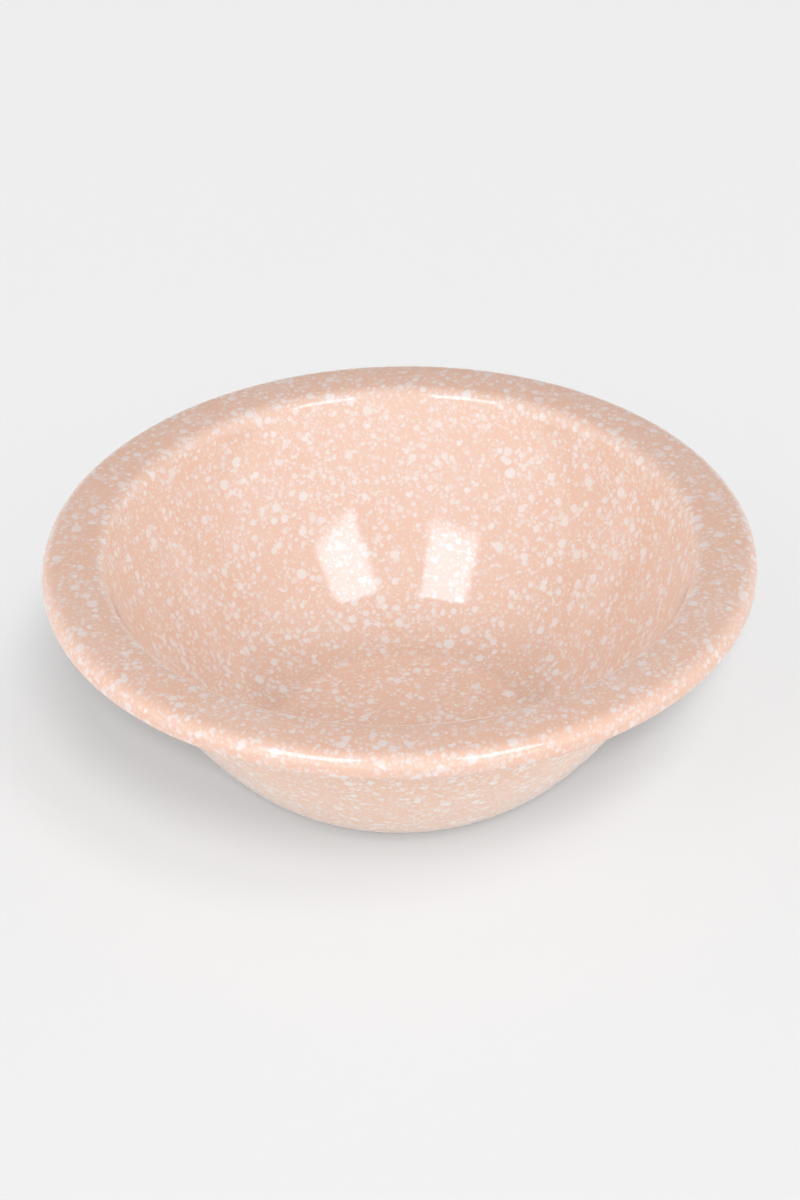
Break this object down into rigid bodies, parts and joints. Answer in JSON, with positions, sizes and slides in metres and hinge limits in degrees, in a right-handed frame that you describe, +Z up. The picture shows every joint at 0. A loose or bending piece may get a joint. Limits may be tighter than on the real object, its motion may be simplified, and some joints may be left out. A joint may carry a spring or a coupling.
{
  "type": "melamine bowl",
  "caption": "Round melamine bowl with a deep curved well, a wide rolled rim with a turned-down lip, a low foot ring and a flecked glazed surface inside and out.",
  "frame": {"origin": "centre of the foot ring's sole, on the table", "axes": "+Z up along the axis of the bowl; X and Y lie on the table, and the bowl is the same all round"},
  "size_m": [0.17, 0.17, 0.06],
  "materials": {
    "pressed_melamine": "plain pressed melamine, satin",
    "inside_print": "peach print with white splatter flecks of many sizes",
    "inside_glaze": "clear high gloss over the flecked print",
    "outside_print": "peach print with white splatter flecks of many sizes",
    "outside_glaze": "clear high gloss over the flecked print"
  },
  "bodies": {
    "root": {"moulded_body": "pressed_melamine", "inside_decor_foil": "inside_print", "inside_glaze": "inside_glaze", "outside_decor_foil": "outside_print", "outside_glaze": "outside_glaze"}
  },
  "joints": []
}
